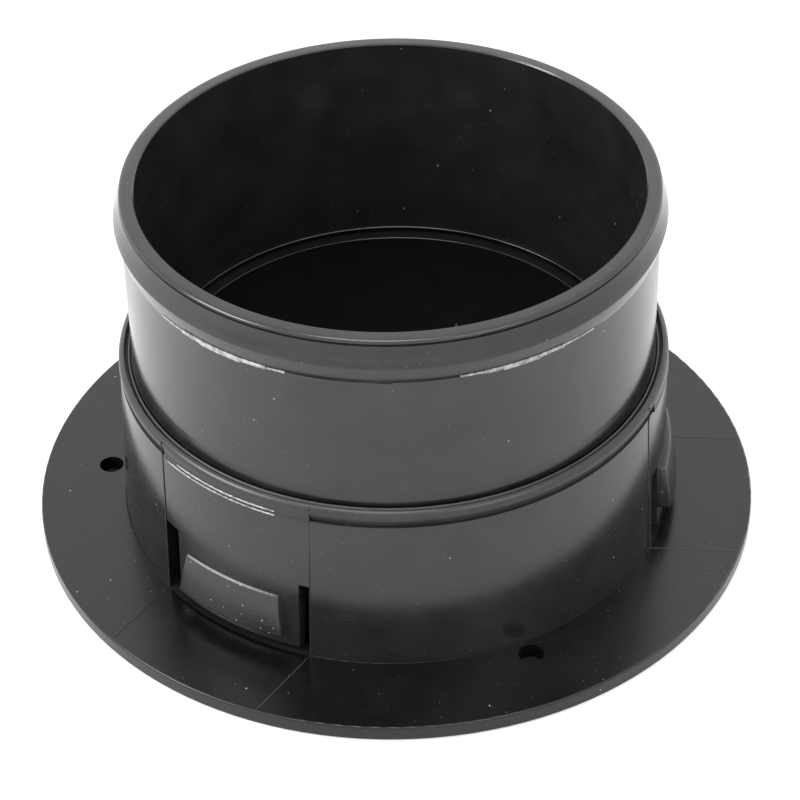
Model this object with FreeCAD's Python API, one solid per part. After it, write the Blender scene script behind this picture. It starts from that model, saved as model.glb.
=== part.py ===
import FreeCAD, Part
import math
import os
from FreeCAD import Vector

# Flanged duct outlet: a mounting flange with a latched collar, a hose spigot that turns in the
# collar, and a two-flap non-return damper inside.  Millimetres, +Z up, origin at the centre of
# the flange's underside.

# Mounting flange
FLANGE_WIDTH = 16.9             # flange's rim outside the collar's foot
FLANGE_THICKNESS = 3.0
FLANGE_EDGE_ROUND = 0.4
SCREW_FROM_COLLAR = 3.7         # screw hole's centre outside the collar's foot
SCREW_HOLE_DIA = 4.8
SECTORS = 3                     # latches, and screw holes midway between them
FIRST_LATCH_ANGLE = -125.0      # degrees from +X

# Hose spigot
SPIGOT_DIA = 100.0
SPIGOT_TOP_ABOVE_LIP = 36.25
SPIGOT_WALL_TOP = 2.87
SPIGOT_WALL_FOOT = 3.8
SPIGOT_NECK_SETBACK = 0.07      # between the hose bead and the rim
SPIGOT_RIM_ROUND = 0.8
BEAD_STAND = 1.2
BEAD_STEP_BELOW_TOP = 9.25      # foot of the bead's lower step
BEAD_STEP_RISE = 0.6
BEAD_LAND = 2.0
BEAD_RAMP = 4.8
BEAD_RAMP_VIA_IN = 0.35         # share of the ramp's stand and rise at the middle of its hollow
BEAD_RAMP_VIA_UP = 0.45
FOOT_RIM_STAND = 0.95           # snapped under the collar's bearing land
FOOT_RIM_HEIGHT = 2.7
FOOT_RIM_CHAMFER = 0.5
SPIGOT_RUNNING_GAP = 0.3        # radial and axial, between the spigot and the collar

# Collar standing on the flange, around the spigot's foot
COLLAR_WALL_TOP = 2.3           # from the bearing land out to the wall below the lip
COLLAR_FLARE = 1.2              # the wall's foot outside its top
COLLAR_BORE_FLARE = 0.9         # the bore's mouth at the flange outside the bearing land
COLLAR_HEIGHT = 31.9            # flange top to the foot of the lip
COLLAR_FOOT_FILLET = 0.3
LIP_HEIGHT = 3.3
LIP_CREST_STAND = 0.1           # the lip's crest outside the wall below it
LIP_UNDERCUT = 0.45             # the lip's foot inside the wall below it
LIP_LEDGE_RISE = 0.1
LIP_TOP_SETBACK = 1.1           # the lip's top edge inside its crest
LIP_ROUND_DROP = 1.3            # the crest below the lip's top edge
LIP_ROUND_VIA = 0.3             # share of setback and drop at the middle of the lip's round

# Rubber ring in the collar's mouth
SEAL_POCKET_DEPTH = 1.6
SEAL_BASE_HEIGHT = 0.5
SEAL_LIP_BELOW_TOP = 0.2
SEAL_LIP_INSET = 0.25

# Ledge inside the collar, and the valve seat that hangs from it
LEDGE_DEPTH = 8.1               # lip top down to the ledge
LEDGE_THICKNESS = 2.0
LEDGE_SHOW = 2.5                # ledge seen inside the spigot's foot
SEAT_WIDTH = 2.2
SEAT_LIP_THICKNESS = 1.8
SKIRT_WALL = 2.0
SKIRT_DEPTH = 5.0               # rebate floor down to the skirt's foot
SEAT_SEAL_INSET = 0.2
SEAT_SEAL_THICKNESS = 0.8

# Snap latches
WINDOW_HEIGHT = 16.4
TONGUE_WIDTH = 27.6
TONGUE_THICKNESS = 2.0
SLOT_WIDE = 3.7                 # beside the tongue, on its clockwise side
SLOT_NARROW = 2.1
TONGUE_FOOT_GAP = 1.4           # flange top to the tongue's free end
TONGUE_ROOT_RADIUS = 1.25
TONGUE_ROOT_GAP = 0.25
PAD_SIDE_MARGIN = 1.9           # tongue left bare at each side of the pad's foot
PAD_SIDE_DRAFT = 1.4            # the pad's top corners in from its foot corners
PAD_FOOT = 4.4                  # flange top to the pad's catching face
PAD_HEIGHT = 8.7
PAD_STAND_TOP = 0.8             # proud of the collar's wall
PAD_STAND_FOOT = 2.1
PAD_ROOT_DEPTH = 0.8            # how far the pad is rooted in the tongue

# Pin across the bore, its cross bar, eyes and push nuts
PIN_DIA = 3.0
PIN_END_PLAY = 0.5              # past each push nut
PIN_PRESS_GAP = 0.02
KNUCKLE_WALL = 1.2
KNUCKLE_RUNNING_GAP = 0.05
KNUCKLE_SINK = 1.6              # the knuckles' underside below the flaps' top face
INNER_KNUCKLE_LENGTH = 8.0
OUTER_KNUCKLE_LENGTH = 10.0
KNUCKLE_END_PLAY = 0.5          # beside the middle eye
OUTER_KNUCKLE_END_PLAY = 2.5    # beside each end eye
CROSS_BAR_WIDTH = 7.0
MIDDLE_EYE_LENGTH = 5.0
END_EYE_LENGTH = 4.5
END_EYE_GAP = 0.5               # radial, inside the seat's bore
STOP_TAB_HEIGHT = 5.0           # above the pin's axis
STOP_TAB_GAP = 0.3
NUT_WALL = 1.4
NUT_THICKNESS = 0.8
NUT_GAP = 0.1

# Non-return flaps
FLAP_RIM_GAP = 0.4              # radial, inside the seat's rebate
FLAP_THICKNESS = 1.8
FLAP_BELOW_LEDGE = 0.2
FLAP_SEAL_GAP = 0.3
FLAP_EDGE_GAP = 0.5             # straight edge clear of the knuckles on the pin
FLAP_OPEN_ANGLE = 80.0
FLAP_RIB_HEIGHT = 1.5
FLAP_RIB_WIDTH = 1.6
FLAP_RIB_SPACING = 20.0
FLAP_RIB_INSET = 2.0            # the ribs' ends inside the seat's bore
FLAP_RIB_GAP = 1.5              # the ribs' other ends clear of the cross bar

# Torsion springs on the pin
SPRING_WIRE_DIA = 0.7
SPRING_COIL_GAP = 0.3           # radial, around the pin
SPRING_LENGTH = 5.6
SPRING_KNUCKLE_GAP = 1.2
SPRING_LEG = 11.0
SPRING_LEG_GAP = 0.35

# Radii that follow
SPIGOT_R = SPIGOT_DIA / 2
NECK_R = SPIGOT_R - SPIGOT_NECK_SETBACK
BEAD_R = SPIGOT_R + BEAD_STAND
FOOT_RIM_R = SPIGOT_R + FOOT_RIM_STAND
BEARING_R = SPIGOT_R + SPIGOT_RUNNING_GAP
FOOT_RIM_POCKET_R = FOOT_RIM_R + SPIGOT_RUNNING_GAP
COLLAR_TOP_R = BEARING_R + COLLAR_WALL_TOP
COLLAR_FOOT_R = COLLAR_TOP_R + COLLAR_FLARE
COLLAR_MOUTH_R = BEARING_R + COLLAR_BORE_FLARE
FLANGE_R = COLLAR_FOOT_R + FLANGE_WIDTH
SCREW_CIRCLE_R = COLLAR_FOOT_R + SCREW_FROM_COLLAR
LIP_CREST_R = COLLAR_TOP_R + LIP_CREST_STAND
LIP_TOP_R = LIP_CREST_R - LIP_TOP_SETBACK
REBATE_R = SPIGOT_R - SPIGOT_WALL_FOOT - LEDGE_SHOW
SEAT_R = REBATE_R - SEAT_WIDTH
SKIRT_R = REBATE_R + SKIRT_WALL
FLAP_R = REBATE_R - FLAP_RIM_GAP
KNUCKLE_R = PIN_DIA / 2 + KNUCKLE_WALL
FLAP_EDGE_OFFSET = KNUCKLE_R + FLAP_EDGE_GAP
SPRING_COIL_R = PIN_DIA / 2 + SPRING_COIL_GAP

# Heights that follow
FLANGE_TOP = FLANGE_THICKNESS
LIP_FOOT = FLANGE_TOP + COLLAR_HEIGHT
LIP_TOP = LIP_FOOT + LIP_HEIGHT
LEDGE_TOP = LIP_TOP - LEDGE_DEPTH
FLAP_TOP = LEDGE_TOP - FLAP_BELOW_LEDGE
FLAP_FOOT = FLAP_TOP - FLAP_THICKNESS
REBATE_FLOOR = FLAP_FOOT - FLAP_SEAL_GAP - SEAT_SEAL_THICKNESS
SKIRT_FOOT = REBATE_FLOOR - SKIRT_DEPTH
PIN_HEIGHT = FLAP_TOP + KNUCKLE_R - KNUCKLE_SINK
SPIGOT_TOP = LIP_TOP + SPIGOT_TOP_ABOVE_LIP
SPIGOT_FOOT = LEDGE_TOP + SPIGOT_RUNNING_GAP
FOOT_RIM_TOP = SPIGOT_FOOT + FOOT_RIM_HEIGHT
BEARING_FOOT = FOOT_RIM_TOP + SPIGOT_RUNNING_GAP
SEAL_POCKET_FLOOR = LIP_TOP - SEAL_POCKET_DEPTH
WINDOW_TOP = FLANGE_TOP + WINDOW_HEIGHT
HINGE_HEIGHT = WINDOW_TOP - TONGUE_ROOT_GAP - TONGUE_ROOT_RADIUS

# Places along the pin, from the bore's centre
MIDDLE_EYE_END = MIDDLE_EYE_LENGTH / 2
INNER_KNUCKLE = (
    MIDDLE_EYE_END + KNUCKLE_END_PLAY,
    MIDDLE_EYE_END + KNUCKLE_END_PLAY + INNER_KNUCKLE_LENGTH,
)
END_EYE = (SEAT_R - END_EYE_GAP - END_EYE_LENGTH, SEAT_R - END_EYE_GAP)
OUTER_KNUCKLE = (
    END_EYE[0] - OUTER_KNUCKLE_END_PLAY - OUTER_KNUCKLE_LENGTH,
    END_EYE[0] - OUTER_KNUCKLE_END_PLAY,
)
SPRING_SPAN = (
    INNER_KNUCKLE[1] + SPRING_KNUCKLE_GAP,
    INNER_KNUCKLE[1] + SPRING_KNUCKLE_GAP + SPRING_LENGTH,
)
NUT_SPAN = (END_EYE[1] + NUT_GAP, END_EYE[1] + NUT_GAP + NUT_THICKNESS)

LATCH_NAMES = ("latch_front_left", "latch_right", "latch_rear")


def latch_angle(index):
    return FIRST_LATCH_ANGLE + index * 360.0 / SECTORS


def turned(shape, degrees):
    """A copy of the shape turned about the duct's axis."""
    copy = shape.copy()
    copy.rotate(Vector(0, 0, 0), Vector(0, 0, 1), degrees)
    return copy


def revolved(start, *moves):
    """Solid of revolution about Z of a closed (radius, height) outline.

    Each move is the next point of a straight run, or a (via, end) pair of points for an arc.
    """
    edges = []
    here = Vector(start[0], 0, start[1])
    for move in moves + (start,):
        if isinstance(move[0], tuple):
            via, end = (Vector(radius, 0, height) for radius, height in move)
            edges.append(Part.Arc(here, via, end).toShape())
        else:
            end = Vector(move[0], 0, move[1])
            edges.append(Part.LineSegment(here, end).toShape())
        here = end
    return Part.Face(Part.Wire(edges)).revolve(Vector(0, 0, 0), Vector(0, 0, 1), 360)


def block(low, high):
    """Box between two opposite corners."""
    size = [top - bottom for bottom, top in zip(low, high)]
    return Part.makeBox(size[0], size[1], size[2], Vector(*low))


def rod_along_x(radius, x_from, x_to):
    """Cylinder on the flap pin's axis."""
    return Part.makeCylinder(radius, x_to - x_from, Vector(x_from, 0, PIN_HEIGHT), Vector(1, 0, 0))


def wall_radius(height):
    """Outside radius of the collar's tapered wall."""
    share = (height - FLANGE_TOP) / COLLAR_HEIGHT
    return COLLAR_FOOT_R + share * (COLLAR_TOP_R - COLLAR_FOOT_R)


def rounded(corner_from, corner, corner_to):
    """Via and end points of a quarter round that replaces a square corner."""
    share = 1 - math.sqrt(0.5)
    via = tuple(
        corner[axis] + share * (corner_from[axis] + corner_to[axis] - 2 * corner[axis])
        for axis in (0, 1)
    )
    return via, corner_to


def flange_and_collar_shell():
    """Flange, collar wall, lip, bearing, ledge and hanging valve seat, turned in one outline."""
    edge = FLANGE_EDGE_ROUND
    fillet_foot = (COLLAR_FOOT_R + COLLAR_FOOT_FILLET, FLANGE_TOP)
    fillet_top_height = FLANGE_TOP + COLLAR_FOOT_FILLET
    fillet_top = (wall_radius(fillet_top_height), fillet_top_height)
    ledge_foot = LEDGE_TOP - LEDGE_THICKNESS
    seat_foot = REBATE_FLOOR - SEAT_LIP_THICKNESS
    lip_via = (
        LIP_CREST_R - LIP_TOP_SETBACK * LIP_ROUND_VIA,
        LIP_TOP - LIP_ROUND_DROP * LIP_ROUND_VIA,
    )
    return revolved(
        (COLLAR_MOUTH_R, 0),
        (FLANGE_R - edge, 0),
        rounded((FLANGE_R - edge, 0), (FLANGE_R, 0), (FLANGE_R, edge)),
        (FLANGE_R, FLANGE_TOP - edge),
        rounded(
            (FLANGE_R, FLANGE_TOP - edge), (FLANGE_R, FLANGE_TOP), (FLANGE_R - edge, FLANGE_TOP)
        ),
        fillet_foot,
        rounded(fillet_foot, (COLLAR_FOOT_R, FLANGE_TOP), fillet_top),
        (COLLAR_TOP_R, LIP_FOOT),
        (COLLAR_TOP_R - LIP_UNDERCUT, LIP_FOOT + LIP_LEDGE_RISE),
        (LIP_CREST_R, LIP_TOP - LIP_ROUND_DROP),
        (lip_via, (LIP_TOP_R, LIP_TOP)),
        (LIP_TOP_R, SEAL_POCKET_FLOOR),
        (BEARING_R, SEAL_POCKET_FLOOR),
        (BEARING_R, BEARING_FOOT),
        (FOOT_RIM_POCKET_R, BEARING_FOOT),
        (FOOT_RIM_POCKET_R, LEDGE_TOP),
        (REBATE_R, LEDGE_TOP),
        (REBATE_R, REBATE_FLOOR),
        (SEAT_R, REBATE_FLOOR),
        (SEAT_R, seat_foot),
        (REBATE_R, seat_foot),
        (REBATE_R, SKIRT_FOOT),
        (SKIRT_R, SKIRT_FOOT),
        (SKIRT_R, ledge_foot),
        (BEARING_R, ledge_foot),
    )


def latch_window():
    """Opening in the collar's wall for one tongue and its two slots, at angle 0."""
    half = TONGUE_WIDTH / 2
    return block(
        (SKIRT_R, -half - SLOT_WIDE, FLANGE_TOP),
        (FLANGE_R, half + SLOT_NARROW, WINDOW_TOP),
    )


def screw_holes():
    """Clearance holes through the flange, midway between the latches."""
    holes = []
    for index in range(SECTORS):
        hole = Part.makeCylinder(
            SCREW_HOLE_DIA / 2, FLANGE_THICKNESS, Vector(SCREW_CIRCLE_R, 0, 0)
        )
        holes.append(turned(hole, latch_angle(index) + 180.0 / SECTORS))
    return holes


def pin_eye(x_from, x_to):
    """One eye of the cross bar, with its cheek standing on the bar."""
    rooted = REBATE_FLOOR - SEAT_LIP_THICKNESS / 2
    cheek = block((x_from, -KNUCKLE_R, rooted), (x_to, KNUCKLE_R, PIN_HEIGHT))
    return cheek.fuse(rod_along_x(KNUCKLE_R, x_from, x_to))


def stop_tab():
    """Tab on the middle eye that the flaps' straight edges come to at their open angle."""
    open_angle = math.radians(FLAP_OPEN_ANGLE)
    along = FLAP_EDGE_OFFSET * math.cos(open_angle)
    across = (PIN_HEIGHT - FLAP_TOP) * math.sin(open_angle)
    half = along + across - STOP_TAB_GAP
    return block(
        (-MIDDLE_EYE_END, -half, PIN_HEIGHT),
        (MIDDLE_EYE_END, half, PIN_HEIGHT + STOP_TAB_HEIGHT),
    )


def cross_bar():
    """Bar under the flaps' straight edges, with three pin eyes and the flaps' stop tab."""
    half_length = REBATE_R + SKIRT_WALL / 2
    half_width = CROSS_BAR_WIDTH / 2
    bar = block(
        (-half_length, -half_width, SKIRT_FOOT), (half_length, half_width, REBATE_FLOOR)
    )
    eyes = [
        pin_eye(-MIDDLE_EYE_END, MIDDLE_EYE_END),
        pin_eye(END_EYE[0], END_EYE[1]),
        pin_eye(-END_EYE[1], -END_EYE[0]),
    ]
    bar = bar.fuse([stop_tab()] + eyes)
    return bar.cut(rod_along_x(PIN_DIA / 2 + PIN_PRESS_GAP, -half_length, half_length))


def flange_collar():
    body = flange_and_collar_shell().fuse(cross_bar())
    windows = [turned(latch_window(), latch_angle(index)) for index in range(SECTORS)]
    return body.cut(windows + screw_holes())


def hose_spigot():
    """Tube with a hose bead under its rim and a snap rim at its foot."""
    rim = SPIGOT_RIM_ROUND
    step_foot = SPIGOT_TOP - BEAD_STEP_BELOW_TOP
    land_foot = step_foot + BEAD_STEP_RISE
    land_top = land_foot + BEAD_LAND
    ramp_top = land_top + BEAD_RAMP
    ramp_via = (
        BEAD_R - BEAD_RAMP_VIA_IN * (BEAD_R - NECK_R),
        land_top + BEAD_RAMP_VIA_UP * BEAD_RAMP,
    )
    return revolved(
        (SPIGOT_R - SPIGOT_WALL_FOOT, SPIGOT_FOOT),
        (FOOT_RIM_R - FOOT_RIM_CHAMFER, SPIGOT_FOOT),
        (FOOT_RIM_R, SPIGOT_FOOT + FOOT_RIM_CHAMFER),
        (FOOT_RIM_R, FOOT_RIM_TOP),
        (SPIGOT_R, FOOT_RIM_TOP),
        (SPIGOT_R, step_foot),
        (BEAD_R, land_foot),
        (BEAD_R, land_top),
        (ramp_via, (NECK_R, ramp_top)),
        (NECK_R, SPIGOT_TOP - rim),
        rounded((NECK_R, SPIGOT_TOP - rim), (NECK_R, SPIGOT_TOP), (NECK_R - rim, SPIGOT_TOP)),
        (NECK_R - SPIGOT_WALL_TOP, SPIGOT_TOP),
    )


def spigot_seal():
    """Rubber ring in the collar's mouth, with a rounded lip towards the spigot."""
    base_top = SEAL_POCKET_FLOOR + SEAL_BASE_HEIGHT
    lip_in = BEARING_R + SEAL_LIP_INSET
    lip_out = LIP_TOP_R - SEAL_LIP_INSET
    crown = LIP_TOP - SEAL_LIP_BELOW_TOP
    shoulder = crown - (lip_out - lip_in) / 2
    return revolved(
        (BEARING_R, SEAL_POCKET_FLOOR),
        (LIP_TOP_R, SEAL_POCKET_FLOOR),
        (LIP_TOP_R, base_top),
        (lip_out, base_top),
        (lip_out, shoulder),
        (((lip_in + lip_out) / 2, crown), (lip_in, shoulder)),
        (lip_in, base_top),
        (BEARING_R, base_top),
    )


def latch_hinge_radius():
    """Distance of a latch's hinge line from the duct's axis: the middle of the curved root."""
    outer_r = wall_radius(HINGE_HEIGHT)
    inner_r = outer_r - TONGUE_THICKNESS
    nearest = math.sqrt(inner_r**2 - (TONGUE_WIDTH / 2) ** 2)
    return (outer_r + nearest) / 2


def latch():
    """Tongue that hinges at its rounded root, with a wedge pad outside, at angle 0."""
    half = TONGUE_WIDTH / 2
    foot = FLANGE_TOP + TONGUE_FOOT_GAP
    foot_r = wall_radius(foot)
    top_r = wall_radius(HINGE_HEIGHT)
    wall = revolved(
        (foot_r - TONGUE_THICKNESS, foot),
        (foot_r, foot),
        (top_r, HINGE_HEIGHT),
        (top_r - TONGUE_THICKNESS, HINGE_HEIGHT),
    )
    pad_foot = FLANGE_TOP + PAD_FOOT
    pad_top = pad_foot + PAD_HEIGHT
    pad = revolved(
        (wall_radius(pad_foot) - PAD_ROOT_DEPTH, pad_foot),
        (wall_radius(pad_foot) + PAD_STAND_FOOT, pad_foot),
        (wall_radius(pad_top) + PAD_STAND_TOP, pad_top),
        (wall_radius(pad_top) - PAD_ROOT_DEPTH, pad_top),
    )
    foot_half = half - PAD_SIDE_MARGIN
    top_half = foot_half - PAD_SIDE_DRAFT
    corners = (
        Vector(0, -foot_half, pad_foot),
        Vector(0, foot_half, pad_foot),
        Vector(0, top_half, pad_top),
        Vector(0, -top_half, pad_top),
        Vector(0, -foot_half, pad_foot),
    )
    pad_outline = Part.Face(Part.makePolygon(corners)).extrude(Vector(FLANGE_R, 0, 0))
    tongue = wall.common(block((0, -half, foot), (FLANGE_R, half, HINGE_HEIGHT)))
    pad = pad.common(pad_outline)
    root = Part.makeCylinder(
        TONGUE_ROOT_RADIUS,
        TONGUE_WIDTH,
        Vector(latch_hinge_radius(), -half, HINGE_HEIGHT),
        Vector(0, 1, 0),
    )
    return tongue.fuse([pad, root])


def flap_rib(x):
    """One straight stiffening rib under the rear flap."""
    foot = FLAP_FOOT - FLAP_RIB_HEIGHT
    rooted = FLAP_FOOT + FLAP_THICKNESS / 2
    start = CROSS_BAR_WIDTH / 2 + FLAP_RIB_GAP
    rib = block((x - FLAP_RIB_WIDTH / 2, start, foot), (x + FLAP_RIB_WIDTH / 2, FLAP_R, rooted))
    return rib.common(Part.makeCylinder(SEAT_R - FLAP_RIB_INSET, rooted - foot, Vector(0, 0, foot)))


def flap():
    """Rear flap: half disc with two knuckles on the pin and stiffening ribs underneath."""
    plate = Part.makeCylinder(FLAP_R, FLAP_THICKNESS, Vector(0, 0, FLAP_FOOT))
    half_disc = plate.common(
        block((-FLAP_R, FLAP_EDGE_OFFSET, FLAP_FOOT), (FLAP_R, FLAP_R, FLAP_TOP))
    )
    pieces = [flap_rib(index * FLAP_RIB_SPACING) for index in (-1, 0, 1)]
    for x_from, x_to in (OUTER_KNUCKLE, (-INNER_KNUCKLE[1], -INNER_KNUCKLE[0])):
        pieces.append(rod_along_x(KNUCKLE_R, x_from, x_to))
        web_end = FLAP_EDGE_OFFSET + FLAP_THICKNESS / 2
        pieces.append(block((x_from, 0, FLAP_FOOT), (x_to, web_end, FLAP_TOP)))
    bore = rod_along_x(PIN_DIA / 2 + KNUCKLE_RUNNING_GAP, -FLAP_R, FLAP_R)
    return half_disc.fuse(pieces).cut(bore)


def flap_seat_seal():
    """Flat rubber ring on the seat that the closed flaps rest on."""
    inner_r = SEAT_R + SEAT_SEAL_INSET
    outer_r = REBATE_R - SEAT_SEAL_INSET
    top = REBATE_FLOOR + SEAT_SEAL_THICKNESS
    return revolved(
        (inner_r, REBATE_FLOOR), (outer_r, REBATE_FLOOR), (outer_r, top), (inner_r, top)
    )


def hinge_pin():
    reach = NUT_SPAN[1] + PIN_END_PLAY
    return rod_along_x(PIN_DIA / 2, -reach, reach)


def pin_push_nuts():
    """Push-on nut at each end of the pin."""
    near, far = NUT_SPAN
    nuts = []
    for x_from, x_to in ((near, far), (-far, -near)):
        disc = rod_along_x(PIN_DIA / 2 + NUT_WALL, x_from, x_to)
        nuts.append(disc.cut(rod_along_x(PIN_DIA / 2 + PIN_PRESS_GAP, x_from, x_to)))
    return Part.makeCompound(nuts)


def flap_spring():
    """Torsion spring of the rear flap: coil on the pin, one leg on the flap, one on the bar."""
    wire_r = SPRING_WIRE_DIA / 2
    coil_mean = SPRING_COIL_R + wire_r
    start, end = SPRING_SPAN
    coil = rod_along_x(SPRING_COIL_R + SPRING_WIRE_DIA, start, end)
    coil = coil.cut(rod_along_x(SPRING_COIL_R, start, end))
    leg_height = FLAP_TOP + SPRING_LEG_GAP + wire_r
    moving_leg = Part.makeCylinder(
        wire_r, SPRING_LEG, Vector(start + wire_r, coil_mean, leg_height), Vector(0, 1, 0)
    )
    rest_height = REBATE_FLOOR + SPRING_LEG_GAP
    resting_leg = Part.makeCylinder(
        wire_r, PIN_HEIGHT - rest_height, Vector(end - wire_r, -coil_mean, rest_height)
    )
    return coil.fuse([moving_leg, resting_leg])


def build_nodes():
    nodes = {
        "flange_collar": flange_collar(),
        "hose_spigot": hose_spigot(),
        "spigot_seal": spigot_seal(),
        "flap_seat_seal": flap_seat_seal(),
        "hinge_pin": hinge_pin(),
        "pin_push_nuts": pin_push_nuts(),
        "flap_rear": flap(),
        "flap_front": turned(flap(), 180),
        "flap_spring_rear": flap_spring(),
        "flap_spring_front": turned(flap_spring(), 180),
    }
    for index, name in enumerate(LATCH_NAMES):
        nodes[name] = turned(latch(), latch_angle(index))
    return nodes


def main():
    os.makedirs("parts", exist_ok=True)
    for name, shape in build_nodes().items():
        shape.exportStep(os.path.join("parts", name + ".step"))
        print(name, "solids", len(shape.Solids), "volume", round(shape.Volume, 1))


main()
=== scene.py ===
import math

import bpy
from mathutils import Matrix, Vector


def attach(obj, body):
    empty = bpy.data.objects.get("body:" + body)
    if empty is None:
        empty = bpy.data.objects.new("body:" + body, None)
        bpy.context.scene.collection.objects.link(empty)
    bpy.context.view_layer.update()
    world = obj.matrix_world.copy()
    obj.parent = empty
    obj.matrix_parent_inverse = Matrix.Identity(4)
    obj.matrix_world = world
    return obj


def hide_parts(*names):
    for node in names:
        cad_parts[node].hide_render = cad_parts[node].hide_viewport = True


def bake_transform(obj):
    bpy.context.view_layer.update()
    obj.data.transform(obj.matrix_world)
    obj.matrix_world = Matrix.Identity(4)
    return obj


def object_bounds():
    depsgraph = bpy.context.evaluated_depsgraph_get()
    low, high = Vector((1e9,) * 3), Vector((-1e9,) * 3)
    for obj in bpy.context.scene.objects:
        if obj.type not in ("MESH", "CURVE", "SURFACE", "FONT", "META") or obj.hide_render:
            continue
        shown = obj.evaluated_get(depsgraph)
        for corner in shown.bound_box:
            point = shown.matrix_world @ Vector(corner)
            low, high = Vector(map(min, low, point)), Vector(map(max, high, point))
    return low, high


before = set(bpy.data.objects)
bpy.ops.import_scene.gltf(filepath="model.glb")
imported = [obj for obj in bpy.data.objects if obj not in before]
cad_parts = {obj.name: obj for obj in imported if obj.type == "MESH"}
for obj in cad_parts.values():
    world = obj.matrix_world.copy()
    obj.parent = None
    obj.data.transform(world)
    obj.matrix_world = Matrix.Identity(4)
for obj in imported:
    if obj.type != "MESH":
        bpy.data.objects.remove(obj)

MM = 0.001
CAD_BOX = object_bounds()

# Sizes in millimetres that several pieces share.
FLANGE_TOP = 3.0
FLANGE_R = 70.69
LIP_FOOT = 34.9
WALL_FOOT_R = 53.8              # the collar's wall is this wide at the flange
WALL_DRAFT = 1.2                # and this much narrower at the lip's foot
LEDGE_R = 43.96                 # the opening inside the ledge that the spigot stands on
PIN_HEIGHT = 31.0
LATCH_ANGLES = {"latch_front_left": -125.0, "latch_right": -5.0, "latch_rear": 115.0}
# Where the mould slides' lines run, to each side of a latch's middle.
WITNESS_OFFSETS = {
    "latch_front_left": (-17.6, 15.9), "latch_right": (-19.1, 15.2), "latch_rear": (-17.6, 15.9),
}
TONGUE_HALF = 13.8
TONGUE_WALL = 2.0
HINGE_BOTTOM = 16.4             # the tongue bends between here and its window's top
WINDOW_TOP = 19.4
PARTING_ANGLE = -91.5           # the spigot's two mould halves meet here and opposite


# ---------------------------------------------------------------- materials


def srgb(code):
    """Linear RGBA of an sRGB hex colour such as "1f1f20"."""
    channels = [int(code[i : i + 2], 16) / 255 for i in (0, 2, 4)]
    linear = [c / 12.92 if c <= 0.04045 else ((c + 0.055) / 1.055) ** 2.4 for c in channels]
    return (*linear, 1.0)


def add(tree, kind, settings=None, **links):
    """Adds a node, with its settings and what its inputs take: a value or another node's output."""
    node = tree.nodes.new(kind)
    for name, value in (settings or {}).items():
        setattr(node, name, value)
    for name, value in links.items():
        key = int(name[1:]) if name[0] == "_" and name[1:].isdigit() else name.replace("_", " ")
        socket = node.inputs[key]
        if isinstance(value, bpy.types.NodeSocket):
            tree.links.new(value, socket)
        else:
            socket.default_value = value
    return node


def new_material(name, **plain):
    """A material whose Principled shader has these constants on its own sockets."""
    material = bpy.data.materials.new(name)
    material.use_nodes = True
    tree = material.node_tree
    shader = tree.nodes["Principled BSDF"]
    for key, value in plain.items():
        shader.inputs[key.replace("_", " ")].default_value = value
    return material, tree, shader


def blended(tree, share, dark, light):
    """Colour output that goes from one sRGB hex colour to another by a share."""
    mix = add(tree, "ShaderNodeMix", {"data_type": "RGBA"}, _0=share, _6=srgb(dark), _7=srgb(light))
    return mix.outputs[2]


def ranged(tree, value, low, high, to_low, to_high):
    """The value taken from one range to another, and held at its ends."""
    node = add(
        tree, "ShaderNodeMapRange", Value=value, From_Min=low, From_Max=high,
        To_Min=to_low, To_Max=to_high,
    )
    return node.outputs["Result"]


def calculated(tree, operation, first, second=0.0):
    """Output of one sum, such as MULTIPLY or MAXIMUM, on two values."""
    node = add(tree, "ShaderNodeMath", {"operation": operation}, _0=first, _1=second)
    return node.outputs[0]


def noise(tree, place, size_mm, detail=2.0, roughness=0.5):
    """Noise whose blotches are about this many millimetres across."""
    node = add(
        tree, "ShaderNodeTexNoise", Vector=place, Scale=1000.0 / size_mm, Detail=detail,
        Roughness=roughness,
    )
    return node.outputs["Fac"]


def specks(tree, place, spacing_mm, share):
    """Round specks, one to a cell at most, each as wide as this share of the spacing."""
    cells = add(tree, "ShaderNodeTexVoronoi", Vector=place, Scale=1000.0 / spacing_mm)
    near = calculated(tree, "LESS_THAN", cells.outputs["Distance"], share / 2)
    colour = add(tree, "ShaderNodeSeparateColor", Color=cells.outputs["Color"])
    chosen = calculated(tree, "GREATER_THAN", colour.outputs[0], 0.72)
    return calculated(tree, "MULTIPLY", near, chosen)


def hairlines(tree, place, turn, squeeze):
    """Sparse scratches along the axis with the least squeeze.

    Real ones are under 0.05 mm wide.  These are about 0.1 mm, as coarse as they need to be to show.
    """
    mapping = add(tree, "ShaderNodeMapping", Vector=place, Rotation=turn, Scale=squeeze)
    return ranged(tree, noise(tree, mapping.outputs["Vector"], 1.0, 1.0), 0.7, 0.76, 0.0, 1.0)


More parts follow.
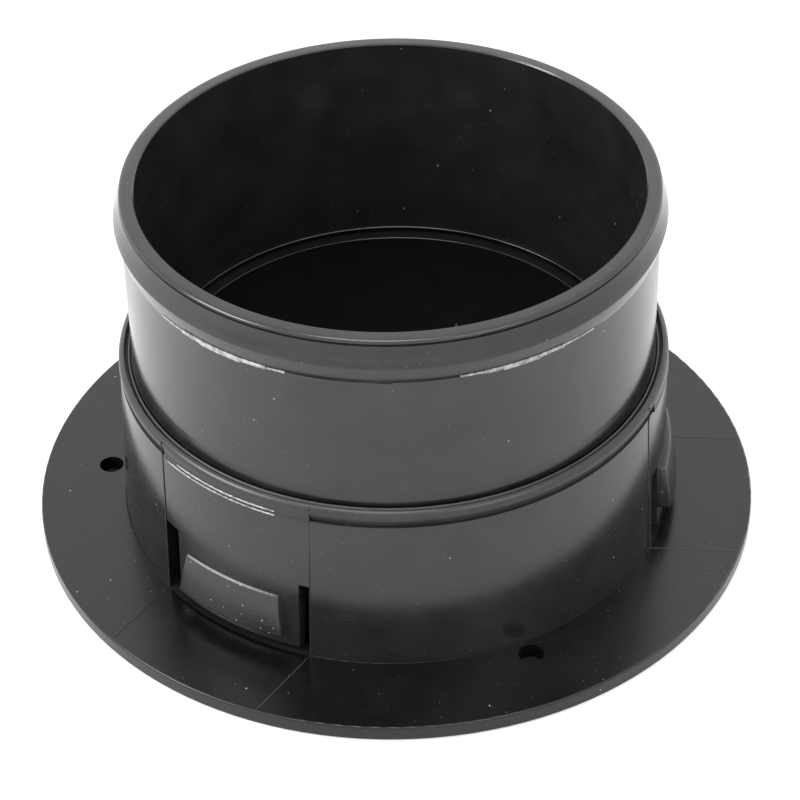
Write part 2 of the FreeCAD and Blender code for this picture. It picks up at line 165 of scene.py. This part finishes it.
def moulded_abs(
    name, roughness, gloss=0.5, tones=("161617", "1f1f20"), pits=0.0, squeeze=(0.12, 0.12, 8.0)
):
    """Black injection-moulded ABS.

    It gives the eye a deep black with a clear white sheen at glancing angles, the slow waviness of
    a moulded skin, hairline scratches and a few specks of dust.  Roughness and gloss tell the
    polished walls from the satin; pits are the small craters on the latches' pads.
    """
    material, tree, shader = new_material(name, IOR=1.54, Specular_IOR_Level=gloss)
    place = add(tree, "ShaderNodeTexCoord").outputs["Object"]
    mottle = noise(tree, place, 9.0, 4.0, 0.6)
    dust = calculated(
        tree, "MAXIMUM", specks(tree, place, 3.4, 0.09), specks(tree, place, 1.2, 0.11 + 0.4 * pits)
    )
    scratch = calculated(
        tree, "MAXIMUM", hairlines(tree, place, (0.06, 0.03, 0.0), squeeze),
        hairlines(tree, place, (-0.04, 0.09, 0.4), squeeze),
    )
    tone = blended(tree, ranged(tree, mottle, 0.3, 0.7, 0.0, 1.0), *tones)
    colour = add(tree, "ShaderNodeMix", {"data_type": "RGBA"}, _0=dust, _6=tone, _7=srgb("8a8a88"))
    tree.links.new(colour.outputs[2], shader.inputs["Base Color"])
    finish = ranged(tree, mottle, 0.3, 0.7, roughness - 0.02, roughness + 0.03)
    scuffed = calculated(tree, "ADD", finish, calculated(tree, "MULTIPLY", scratch, 0.12))
    tree.links.new(
        calculated(tree, "ADD", scuffed, calculated(tree, "MULTIPLY", dust, 0.4)),
        shader.inputs["Roughness"],
    )
    waves = add(
        tree, "ShaderNodeBump", Height=noise(tree, place, 14.0, 1.0), Strength=0.16,
        Distance=0.4 * MM,
    )
    skin = add(
        tree, "ShaderNodeBump", Height=noise(tree, place, 0.6, 2.0), Strength=0.05 + pits,
        Distance=0.08 * MM, Normal=waves.outputs["Normal"],
    )
    cuts = add(
        tree, "ShaderNodeBump", {"invert": True}, Height=scratch, Strength=0.15,
        Distance=0.02 * MM, Normal=skin.outputs["Normal"],
    )
    tree.links.new(cuts.outputs["Normal"], shader.inputs["Normal"])
    return material


def whitened_highlight_abs():
    """The same ABS where flash was torn off.

    It gives the eye a pale, ragged grain that stands out against the black: partly the
    stress-whitening of torn flash, partly a painted highlight of the lamps.
    """
    material, tree, shader = new_material("black_abs_whitened_painted_highlight", IOR=1.54)
    place = add(tree, "ShaderNodeTexCoord").outputs["Object"]
    grain = ranged(tree, noise(tree, place, 0.9, 3.0, 0.6), 0.25, 0.62, 0.0, 1.0)
    # Pale grain: stress-whitening and painted highlight together.
    tree.links.new(blended(tree, grain, "3a3a3b", "a2a2a1"), shader.inputs["Base Color"])
    tree.links.new(ranged(tree, grain, 0.0, 1.0, 0.25, 0.6), shader.inputs["Roughness"])
    torn = add(
        tree, "ShaderNodeBump", Height=noise(tree, place, 0.4, 3.0), Strength=0.6,
        Distance=0.15 * MM,
    )
    tree.links.new(torn.outputs["Normal"], shader.inputs["Normal"])
    return material


def flap_polypropylene_shaded():
    """Polypropylene from a spark-eroded mould.

    It gives the eye a near-black with almost no sheen, darker than the plastic itself as painted
    shade at the bore's bottom, and a fine even grain up close.
    """
    material, tree, shader = new_material(
        "matt_black_polypropylene_painted_shade", IOR=1.49, Specular_IOR_Level=0.03
    )
    place = add(tree, "ShaderNodeTexCoord").outputs["Object"]
    mottle = noise(tree, place, 6.0, 3.0)
    # Near-black beyond the plastic's own colour: painted shade at the bore's bottom.
    tree.links.new(blended(tree, mottle, "050505", "0b0b0b"), shader.inputs["Base Color"])
    tree.links.new(ranged(tree, mottle, 0.3, 0.7, 0.62, 0.78), shader.inputs["Roughness"])
    grain = add(
        tree, "ShaderNodeBump", Height=noise(tree, place, 0.35, 2.0), Strength=0.35,
        Distance=0.04 * MM,
    )
    tree.links.new(grain.outputs["Normal"], shader.inputs["Normal"])
    return material


def seal_rubber():
    """Moulded EPDM rubber.

    It gives the eye a dull charcoal with a bloom of paler patches, softer than the ABS round it.
    """
    material, tree, shader = new_material("epdm_rubber", IOR=1.52)
    place = add(tree, "ShaderNodeTexCoord").outputs["Object"]
    bloom = noise(tree, place, 3.0, 4.0, 0.65)
    tree.links.new(blended(tree, bloom, "1f1f20", "3a3a3b"), shader.inputs["Base Color"])
    tree.links.new(ranged(tree, bloom, 0.3, 0.7, 0.38, 0.52), shader.inputs["Roughness"])
    grain = add(
        tree, "ShaderNodeBump", Height=noise(tree, place, 0.3, 2.0), Strength=0.3,
        Distance=0.03 * MM,
    )
    tree.links.new(grain.outputs["Normal"], shader.inputs["Normal"])
    return material


def bare_metal(name, dark, light, roughness, stretch):
    """Drawn or turned metal, zinc-plated or bare.

    It gives the eye a bright glint broken into fine lines.  The stretch sets how the lines run: a
    small number along an axis draws them out along it.
    """
    material, tree, shader = new_material(name, Metallic=1.0)
    place = add(tree, "ShaderNodeTexCoord").outputs["Object"]
    mapping = add(tree, "ShaderNodeMapping", Vector=place, Scale=stretch)
    lines = noise(tree, mapping.outputs["Vector"], 0.4, 3.0)
    stain = noise(tree, place, 2.5, 3.0)
    tree.links.new(blended(tree, stain, dark, light), shader.inputs["Base Color"])
    tree.links.new(
        ranged(tree, lines, 0.3, 0.7, roughness - 0.06, roughness + 0.1),
        shader.inputs["Roughness"],
    )
    bump = add(tree, "ShaderNodeBump", Height=lines, Strength=0.2, Distance=0.02 * MM)
    tree.links.new(bump.outputs["Normal"], shader.inputs["Normal"])
    return material


# ---------------------------------------------------------------- modelling


def drawn(name, points):
    """Mesh of one run of edges through these points, in millimetres, open in edit mode."""
    bpy.ops.object.select_all(action="DESELECT")
    bpy.ops.mesh.primitive_plane_add(size=MM)
    piece = bpy.context.object
    piece.name = name
    bpy.ops.object.mode_set(mode="EDIT")
    bpy.ops.mesh.merge(type="CENTER")
    bpy.ops.transform.translate(value=Vector(points[0]) * MM)
    for before, after in zip(points, points[1:]):
        step = (Vector(after) - Vector(before)) * MM
        bpy.ops.mesh.extrude_region_move(TRANSFORM_OT_translate={"value": step})
    bpy.ops.mesh.select_all(action="SELECT")
    return piece


def close_up():
    """In edit mode: merges what coincides and turns all faces outwards, then leaves edit mode."""
    bpy.ops.mesh.select_all(action="SELECT")
    bpy.ops.mesh.remove_doubles(threshold=0.002 * MM)
    bpy.ops.mesh.normals_make_consistent(inside=False)
    bpy.ops.object.mode_set(mode="OBJECT")


def turned(name, outline, steps, sweep=360.0):
    """Closed (radius, height) outline spun about Z, half of a part sweep to each side of +X."""
    piece = drawn(name, [(radius, 0, height) for radius, height in outline + outline[:1]])
    if sweep < 360:
        piece.rotation_euler.z = math.radians(sweep / 2)
    bpy.ops.mesh.spin(
        steps=steps, angle=math.radians(sweep), center=(0, 0, 0), axis=(0, 0, 1)
    )
    close_up()
    bpy.ops.object.transform_apply(location=True, rotation=True, scale=True)
    return piece


def cut_off(piece, corner, outward):
    """Takes away what lies beyond a plane, and closes the cut."""
    activate(piece)
    bpy.ops.object.mode_set(mode="EDIT")
    bpy.ops.mesh.select_all(action="SELECT")
    bpy.ops.mesh.bisect(
        plane_co=Vector(corner) * MM, plane_no=outward, use_fill=True, clear_outer=True
    )
    close_up()


def activate(piece):
    """Makes this the one selected and active piece."""
    bpy.ops.object.select_all(action="DESELECT")
    piece.select_set(True)
    bpy.context.view_layer.objects.active = piece


def modified(piece, kind, **settings):
    """Adds a modifier with these settings and applies it."""
    activate(piece)
    modifier = piece.modifiers.new(kind.lower(), kind)
    for name, value in settings.items():
        setattr(modifier, name, value)
    bpy.ops.object.modifier_apply(modifier=modifier.name)
    return piece


def edges_eased(piece, width, segments=2, angle=30.0):
    """Small rounds on the edges that turn by more than the angle."""
    return modified(
        piece, "BEVEL", width=width * MM, segments=segments, limit_method="ANGLE",
        angle_limit=math.radians(angle), harden_normals=False, use_clamp_overlap=True,
    )


def placed(piece, turn=(0, 0, 0), move=(0, 0, 0)):
    """Turns by degrees about the axes and moves by millimetres, into the mesh itself."""
    activate(piece)
    piece.rotation_euler = [math.radians(degrees) for degrees in turn]
    piece.location = Vector(move) * MM
    bpy.ops.object.transform_apply(location=True, rotation=True, scale=True)
    return piece


def copied(piece, name):
    """A copy with its own mesh."""
    copy = piece.copy()
    copy.data = piece.data.copy()
    copy.name = name
    bpy.context.scene.collection.objects.link(copy)
    return copy


def joined(pieces, name):
    """One piece made of several, which keep their shapes."""
    activate(pieces[0])
    for piece in pieces[1:]:
        piece.select_set(True)
    bpy.ops.object.join()
    pieces[0].name = name
    return pieces[0]


def wire(name, points, radius, sides=3):
    """Round wire of this radius along the points, with closed ends."""
    piece = drawn(name, points)
    bpy.ops.object.mode_set(mode="OBJECT")
    bpy.ops.object.convert(target="CURVE")
    piece = bpy.context.object
    piece.data.bevel_depth = radius * MM
    piece.data.bevel_resolution = sides
    piece.data.use_fill_caps = True
    bpy.ops.object.convert(target="MESH")
    piece = bpy.context.object
    bpy.ops.object.mode_set(mode="EDIT")
    close_up()
    return piece


def dressed(piece, material, angle=35.0):
    """Smooths what turns by less than the angle, and gives the piece its material and slot."""
    activate(piece)
    bpy.ops.object.shade_smooth_by_angle(angle=math.radians(angle))
    piece.data.materials.clear()
    piece.data.materials.append(material)
    return piece


def on_ring(degrees, radius, height):
    """Point at this angle about Z."""
    angle = math.radians(degrees)
    return (radius * math.cos(angle), radius * math.sin(angle), height)


def wall_radius(height):
    """Outside radius of the collar's tapered wall."""
    return WALL_FOOT_R - WALL_DRAFT * (height - FLANGE_TOP) / (LIP_FOOT - FLANGE_TOP)


# ---------------------------------------------------------------- pieces


def spigot(plastic):
    """Tube with a flat rim, an undercut hose bead, a snap rim at its foot and a roll inside it."""
    rim = [
        (49.92, 73.82), (49.87, 74.02), (49.74, 74.2), (49.52, 74.34), (49.25, 74.42),
        (49.0, 74.45),
    ]
    roll = [on_ring(90 + 20 * step, 0.22, 0)[:2] for step in range(10)]
    outline = [
        (46.7, 30.4), (50.45, 30.4), (50.95, 30.9), (50.95, 33.1), (50.0, 33.1),
        (50.0, 37.9), (50.34, 38.2), (50.3, 38.5), (50.0, 39.7), (50.0, 41.0), (50.0, 65.1),
        (50.06, 65.4), (50.14, 65.7), (50.3, 66.1), (50.5, 66.7), (50.75, 67.6),
        (51.05, 68.7), (51.2, 69.3), (51.1, 69.7), (50.7, 70.8), (50.32, 71.9),
        (49.95, 73.3), (49.6, 73.45), (49.6, 73.7),
    ] + rim + [
        (47.3, 74.45), (47.06, 74.2), (47.03, 73.0), (47.0, 71.5), (46.26, 34.0), (46.22, 32.0),
    ] + [(46.2 + x, 31.15 + z) for x, z in roll] + [(46.27, 30.7), (46.43, 30.53)]
    tube = turned("hose_spigot_skin", outline, 240)
    # The second mould half left the bead's undercut a step higher, from the parting line on.
    activate(tube)
    bpy.ops.object.mode_set(mode="EDIT")
    for degrees in (PARTING_ANGLE - 0.1, PARTING_ANGLE + 0.1):
        bpy.ops.mesh.select_all(action="SELECT")
        bpy.ops.mesh.bisect(
            plane_co=(0, 0, 0), plane_no=on_ring(degrees + 90, 1.0, 0), use_fill=False
        )
    bpy.ops.mesh.select_all(action="DESELECT")
    bpy.ops.object.mode_set(mode="OBJECT")
    seam = Vector(on_ring(PARTING_ANGLE + 90, 1.0, 0))
    for vertex in tube.data.vertices:
        undercut = 64.9 * MM < vertex.co.z < 65.5 * MM
        vertex.select = undercut and vertex.co.xy.length > 49.5 * MM and seam.dot(vertex.co) > 0
    bpy.ops.object.mode_set(mode="EDIT")
    bpy.ops.transform.translate(value=(0, 0, 0.3 * MM))
    bpy.ops.object.mode_set(mode="OBJECT")
    dressed(tube, plastic, 24.0)
    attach(tube, "spigot")
    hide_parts("hose_spigot")


def latch(plastic, pitted):
    """One tongue with a wedge pad, shaped where the real one bends at its root; modelled facing +X,
    copied to each.
    """
    foot, pad_foot, pad_half = 4.4, 7.4, 11.9
    outer = [foot, 9.0, 13.0, 15.0, HINGE_BOTTOM, 17.4, 18.4, WINDOW_TOP]
    inner = [WINDOW_TOP, 18.4, 17.4, HINGE_BOTTOM, 13.0]
    tongue = turned(
        "latch_tongue",
        [(wall_radius(foot) - TONGUE_WALL, foot)] + [(wall_radius(z), z) for z in outer]
        + [(wall_radius(z) - TONGUE_WALL, z) for z in inner],
        24, 34.0,
    )
    cut_off(tongue, (0, TONGUE_HALF, 0), (0, 1, 0))
    cut_off(tongue, (0, -TONGUE_HALF, 0), (0, -1, 0))
    wedge = [
        (-0.8, pad_foot), (1.85, pad_foot), (2.08, 7.62), (1.9, 9.5), (1.6, 12.0), (1.18, 14.5),
        (0.86, 15.8), (0.55, 16.1), (-0.8, 16.1),
    ]
    # The pad's thickest point is measured from the wall at the pad's foot.
    pad = turned(
        "latch_pad", [(wall_radius(pad_foot if z < 9.0 else z) + proud, z) for proud, z in wedge],
        24, 32.0,
    )
    lean = 1.4 / 8.7                # the pad narrows upwards
    cut_off(pad, (0, pad_half, pad_foot), (0, 1, lean))
    cut_off(pad, (0, -pad_half, pad_foot), (0, -1, lean))
    edges_eased(pad, 0.3, 3, 50.0)
    placed(pad, move=(0, -0.35, 0))
    modified(tongue, "BOOLEAN", operation="UNION", object=pad, solver="EXACT")
    bpy.data.objects.remove(pad)
    dressed(tongue, plastic, 30.0)
    tongue.data.materials.append(pitted)
    for face in tongue.data.polygons:
        proud = face.center.xy.length > (wall_radius(face.center.z / MM) + 0.15) * MM
        if proud and face.center.z < 16.2 * MM:
            face.material_index = 1
    return tongue


def latches(plastic, pitted):
    """Three copies of the latch, one at each latch's angle, in place of the CAD latches."""
    pattern = latch(plastic, pitted)
    for body, degrees in LATCH_ANGLES.items():
        piece = placed(copied(pattern, body + "_skin"), turn=(0, 0, degrees))
        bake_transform(piece)
        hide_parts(body)
    bpy.data.objects.remove(pattern)


def spigot_seal_ring(rubber):
    """Ring in the collar's mouth: a flat base and a rounded lip that leans on the tube."""
    outline = [
        (50.3, 36.6), (51.6, 36.6), (51.6, 37.0), (51.15, 37.1), (51.05, 37.4), (50.98, 37.7),
        (50.84, 37.88), (50.66, 37.93), (50.5, 37.86), (50.4, 37.7), (50.28, 37.5),
        (50.25, 37.2), (50.3, 37.1),
    ]
    ring = dressed(turned("spigot_seal_ring", outline, 200), rubber, 50.0)
    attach(ring, "collar")
    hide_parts("spigot_seal")


def flap_seat_ring(rubber):
    """Flat ring under the flaps with a raised middle bead that they close on."""
    outline = [
        (41.7, 27.0), (43.5, 27.0), (43.5, 27.45), (43.3, 27.5), (42.9, 27.68), (42.6, 27.76),
        (42.3, 27.68), (41.9, 27.5), (41.7, 27.45),
    ]
    ring = dressed(turned("flap_seat_ring", outline, 160), rubber, 50.0)
    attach(ring, "collar")
    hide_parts("flap_seat_seal")


def hinge_pin(steel):
    """Pin with chamfered ends, laid along X."""
    outline = [(0.0, -42.4), (1.2, -42.4), (1.5, -42.1), (1.5, 42.1), (1.2, 42.4), (0.0, 42.4)]
    pin = turned("hinge_pin_rod", outline, 32)
    placed(pin, turn=(0, 90, 0), move=(0, 0, PIN_HEIGHT))
    dressed(pin, steel)
    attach(pin, "collar")
    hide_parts("hinge_pin")


def push_nuts(steel):
    """Push-on nuts: a dished washer whose inner ring is slit into six prongs that grip the pin."""
    nuts = []
    for side in (-1, 1):
        bpy.ops.object.select_all(action="DESELECT")
        bpy.ops.mesh.primitive_circle_add(vertices=36, radius=2.85 * MM, fill_type="NGON")
        nut = bpy.context.object
        bpy.ops.object.mode_set(mode="EDIT")
        bpy.ops.mesh.inset(thickness=0.55 * MM)
        bpy.ops.mesh.inset(thickness=0.75 * MM)
        bpy.ops.transform.translate(value=(0, 0, 0.35 * MM))
        bpy.ops.mesh.delete(type="FACE")
        bpy.ops.mesh.select_all(action="DESELECT")
        bpy.ops.mesh.select_mode(type="FACE")
        bpy.ops.object.mode_set(mode="OBJECT")
        for face in nut.data.polygons:
            angle = math.degrees(math.atan2(face.center.y, face.center.x)) % 60
            face.select = face.center.xy.length < 2.2 * MM and 20 < angle < 30
        bpy.ops.object.mode_set(mode="EDIT")
        bpy.ops.mesh.delete(type="FACE")
        bpy.ops.mesh.select_mode(type="VERT")
        bpy.ops.mesh.select_all(action="SELECT")
        bpy.ops.mesh.normals_make_consistent(inside=False)
        bpy.ops.object.mode_set(mode="OBJECT")
        modified(nut, "SOLIDIFY", thickness=0.3 * MM, offset=0.0)
        edges_eased(nut, 0.05, 2, 40.0)
        nuts.append(placed(nut, turn=(0, 90 * side, 0), move=(41.35 * side, 0, PIN_HEIGHT)))
    pair = joined(nuts, "push_nut_pair")
    dressed(pair, steel)
    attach(pair, "collar")
    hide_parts("pin_push_nuts")


def torsion_springs(steel):
    """Close-wound springs on the pin: one leg stands on the cross bar, one lies on the flap."""
    coil_r, wire_r = 2.15, 0.35
    near, far = 12.55, 17.45        # the coil's ends along the pin
    turns, count = 6.53, 190
    path = [(far, -coil_r, 27.1), (far, -coil_r, 29.5)]
    for index in range(count + 1):
        share = index / count
        angle = 2 * math.pi * turns * share
        x = far + (near - far) * share
        path.append((x, -coil_r * math.cos(angle), PIN_HEIGHT + coil_r * math.sin(angle)))
    path += [(near, 2.3, 30.45), (near, 2.7, 30.42), (near, 7.0, 30.36), (near, 13.1, 30.28)]
    spring = wire("spring_wire", path, wire_r)
    for body, node, turn in (
        ("flap_rear", "flap_spring_rear", 0), ("flap_front", "flap_spring_front", 180),
    ):
        piece = placed(copied(spring, node + "_wire"), turn=(0, 0, turn))
        dressed(piece, steel)
        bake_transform(piece)
        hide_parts(node)
    bpy.data.objects.remove(spring)


def collar_lip(plastic, torn):
    """Rounded lip round the collar's mouth, and the step that each mould slide left in it."""
    outline = [
        (51.58, 36.7), (51.57, 38.17), (51.63, 38.24), (51.87, 38.18), (52.12, 38.06),
        (52.34, 37.89), (52.52, 37.68), (52.65, 37.44), (52.72, 37.17), (52.74, 36.9),
        (52.45, 35.8), (52.2, 35.05), (51.9, 35.1), (51.9, 36.7),
    ]
    lip = turned("collar_lip_skin", outline, 240)
    band = [
        (51.9, 34.6), (52.72, 34.62), (52.86, 34.8), (52.84, 35.0), (52.72, 35.15),
        (52.8, 35.35), (52.78, 35.6), (52.68, 35.8), (52.76, 36.9), (52.72, 37.3),
        (52.52, 37.74), (52.2, 38.1), (51.9, 38.2), (51.9, 37.0),
    ]
    sweep, lag = 36.2, 0.3          # a slide's width, and how far its middle lies off the latch's
    bands = []
    for degrees in LATCH_ANGLES.values():
        piece = turned("lip_slide_band", band, 28, sweep)
        activate(piece)
        bpy.ops.object.mode_set(mode="EDIT")
        bpy.ops.mesh.select_all(action="DESELECT")
        bpy.ops.mesh.select_non_manifold()
        bpy.ops.mesh.edge_face_add()
        close_up()
        bands.append(placed(piece, turn=(0, 0, degrees - lag)))
    ring = joined([lip] + bands, "collar_lip_skin")
    dressed(ring, plastic)
    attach(ring, "collar")
    # The pale ridges on the lip are partly painted highlight.
    scars = []
    for height, radius, begin, end in (
        (34.7, 52.88, -142.0, -114.5), (35.55, 52.82, -139.0, -114.5),
    ):
        scars.append(torn_flash(begin, end, radius, height, 0.16))
    scar = dressed(joined(scars, "lip_torn_flash"), torn)
    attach(scar, "collar")


def torn_flash(begin, end, radius, height, thickness):
    """Ragged bead of torn flash along an arc, thick and thin by turns."""
    count = int((end - begin) * 3)
    path = []
    for index in range(count + 1):
        degrees = begin + (end - begin) * index / count
        sway = 0.045 * math.sin(index * 1.3) + 0.03 * math.sin(index * 3.1 + 1.0)
        path.append(on_ring(degrees, radius + 0.5 * sway, height + sway))
    return wire("torn_flash", path, thickness, 1)


def bead_flash(torn):
    """Torn flash under the hose bead, on both sides of the mould's seam."""
    # The pale strips sit where the lamps' highlights fall on the bead's foot; their colour is
    # partly painted highlight.
    scars = [
        torn_flash(-144.0, -112.0, 50.2, 65.72, 0.24),
        torn_flash(-137.0, -116.0, 50.28, 65.8, 0.42),
        torn_flash(-132.0, -122.0, 50.25, 65.5, 0.42),
        torn_flash(-77.0, -46.0, 50.25, 65.98, 0.24),
        torn_flash(-72.0, -54.0, 50.32, 66.0, 0.4),
        torn_flash(-68.0, -60.0, 50.28, 65.75, 0.4),
    ]
    scar = dressed(joined(scars, "bead_torn_flash"), torn)
    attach(scar, "spigot")


def witness_lines(plastic):
    """Fine flash ridges where the mould's slides met, up the collar and out on the flange."""
    rise, lip_r = 0.02, 52.72       # how proud of the wall they run, and their radius on the lip
    lines = []
    for body, degrees in LATCH_ANGLES.items():
        across = Vector(on_ring(degrees + 90, 1.0, 0))
        out = Vector(on_ring(degrees, 1.0, 0))
        for offset in WITNESS_OFFSETS[body]:
            wall = []
            for height in (3.1, 12.0, 20.0, 28.0, 34.6, 35.2, 36.9, 37.7):
                radius = wall_radius(height) + rise if height < LIP_FOOT else lip_r
                reach = math.sqrt(radius**2 - offset**2)
                wall.append(out * reach + across * offset + Vector((0, 0, height)))
            lines.append(wire("line", wall, 0.12, 1))
            edge = math.sqrt((FLANGE_R - 0.5) ** 2 - offset**2)
            foot = math.sqrt(wall_radius(3.2) ** 2 - offset**2)
            base = across * offset + Vector((0, 0, FLANGE_TOP))
            lines.append(wire("line", [base + out * foot, base + out * edge], 0.13, 1))
    ridges = joined(lines, "collar_witness_lines")
    dressed(ridges, plastic)
    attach(ridges, "collar")


def flange_and_collar(polished, satin, dull_shaded):
    """The CAD node itself: polished walls, satin flange, and a rougher, darker material on the
    wall's foot round and the ledge inside the bore, whose darker colour is painted shade.
    """
    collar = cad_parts["flange_collar"]
    collar.data.materials.clear()
    for material in (polished, satin, dull_shaded):
        collar.data.materials.append(material)
    outside = WALL_FOOT_R - 0.05
    for face in collar.data.polygons:
        reach = face.center.xy.length / MM
        height = face.center.z / MM
        flange = height < 0.005 or (height < FLANGE_TOP + 0.005 and reach > outside)
        foot_round = height < FLANGE_TOP + 0.31 and outside < reach < WALL_FOOT_R + 0.4
        ledge = reach < 49.5 and height > 20.0
        if flange:
            face.material_index = 1
        # The foot round and the bore's ledge take the darker material: painted shade in the corner
        # and the recess.
        elif foot_round or ledge:
            face.material_index = 2
    rim = [on_ring(30 * step, 0.24, 0)[:2] for step in range(12)]
    bead = turned("ledge_rim_bead", [(LEDGE_R + x, 29.92 + z) for x, z in rim], 160)
    dressed(bead, polished)
    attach(bead, "collar")


def flaps(plastic):
    """Both flaps keep their CAD meshes."""
    for node in ("flap_front", "flap_rear"):
        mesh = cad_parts[node].data
        mesh.materials.clear()
        mesh.materials.append(plastic)


# ---------------------------------------------------------------- studio


def floor():
    """Pale lit sheet just under the flange, and a black card under it as painted shadow that keeps
    the open holes dark.
    """
    bpy.ops.object.select_all(action="DESELECT")
    bpy.ops.mesh.primitive_plane_add(size=6.0, location=(0, 0, CAD_BOX[0][2] - 0.0002))
    plane = bpy.context.object
    plane.name = "studio_floor"
    material, _, _ = new_material(
        "light_table_floor", Base_Color=srgb("aeaeae"), Roughness=0.9,
        Emission_Color=srgb("ffffff"), Emission_Strength=0.5,
    )
    plane.data.materials.append(material)
    # The black card stands in for the shadow under the flange: painted shadow in the open holes.
    bpy.ops.object.select_all(action="DESELECT")
    bpy.ops.mesh.primitive_circle_add(
        vertices=96, radius=0.068, fill_type="NGON", location=(0, 0, CAD_BOX[0][2] - 0.0001)
    )
    shadow_card = bpy.context.object
    shadow_card.name = "studio_shadow_card"
    black, _, _ = new_material("painted_shadow_card", Base_Color=srgb("060606"), Roughness=0.95)
    shadow_card.data.materials.append(black)


def softbox(name, size, place, power):
    """Square area light that faces the object."""
    data = bpy.data.lights.new(name, "AREA")
    data.size = size
    data.energy = power
    lamp = bpy.data.objects.new(name, data)
    lamp.location = place
    aim = Vector((0, 0, 0.035)) - Vector(place)
    lamp.rotation_euler = aim.to_track_quat("-Z", "Y").to_euler()
    bpy.context.scene.collection.objects.link(lamp)


def camera():
    """Long lens, from the front and 38 degrees above, rolled by a degree."""
    eye = Vector((0, -0.40608, 0.34529))
    forward = Vector((0.00204, 0.78242, -0.62274)).normalized()
    right = forward.cross(Vector((0, 0, 1))).normalized()
    up = right.cross(forward)
    roll = math.radians(-1.0544)
    across = right * math.cos(roll) + up * math.sin(roll)
    upright = up * math.cos(roll) - right * math.sin(roll)
    data = bpy.data.cameras.new("studio_camera")
    data.sensor_width = 36.0
    data.lens = 119.29
    data.clip_start = 0.01
    thing = bpy.data.objects.new("studio_camera", data)
    rows = [(across[i], upright[i], -forward[i], eye[i]) for i in range(3)]
    thing.matrix_world = Matrix(rows + [(0, 0, 0, 1)])
    bpy.context.scene.collection.objects.link(thing)
    bpy.context.scene.camera = thing


def white_room():
    """Even white light from all round."""
    scene = bpy.context.scene
    scene.view_settings.view_transform = "Standard"
    scene.world = bpy.data.worlds.new("white_room")
    scene.world.use_nodes = True
    background = scene.world.node_tree.nodes["Background"]
    background.inputs["Color"].default_value = (1, 1, 1, 1)
    background.inputs["Strength"].default_value = 1.6


def main():
    collar_abs = moulded_abs("black_abs_polished", 0.18, gloss=0.44)
    flange_abs = moulded_abs(
        "black_abs_satin", 0.24, gloss=0.36, tones=("050506", "0b0b0c"), squeeze=(1.0, 1.0, 0.1)
    )
    lip_abs = moulded_abs("black_abs_matt_lip", 0.32, gloss=0.44)
    # Darker tones for the wall's foot round and the bore's ledge: painted shade.
    shaded_corner_abs = moulded_abs("black_abs_painted_shade_corner", 0.6, gloss=0.1, tones=("0b0b0c", "111112"))
    tube_abs = moulded_abs("black_abs_satin_polish", 0.15, gloss=0.45)
    pad_abs = moulded_abs("black_abs_pitted", 0.3, pits=0.35)
    # Pale torn flash, partly painted highlight.
    torn_highlight_abs = whitened_highlight_abs()
    rubber = seal_rubber()
    flap_shaded_plastic = flap_polypropylene_shaded()
    pin_steel = bare_metal("zinc_plated_steel", "8f9296", "c3c6c8", 0.3, (0.1, 1.0, 1.0))
    spring_steel = bare_metal("drawn_spring_steel", "9a9a98", "cfcfcd", 0.22, (1.0, 1.0, 1.0))
    flange_and_collar(collar_abs, flange_abs, shaded_corner_abs)
    flaps(flap_shaded_plastic)
    spigot(tube_abs)
    latches(collar_abs, pad_abs)
    collar_lip(lip_abs, torn_highlight_abs)
    bead_flash(torn_highlight_abs)
    witness_lines(collar_abs)
    spigot_seal_ring(rubber)
    flap_seat_ring(rubber)
    hinge_pin(pin_steel)
    push_nuts(pin_steel)
    torsion_springs(spring_steel)
    floor()
    white_room()
    softbox("softbox_left", 0.36, (-0.62, -0.18, 0.52), 5.0)
    softbox("softbox_overhead", 0.36, (-0.07, -0.12, 0.86), 2.4)
    softbox("softbox_front_right", 0.3, (0.38, -0.45, 0.6), 1.0)
    camera()


main()
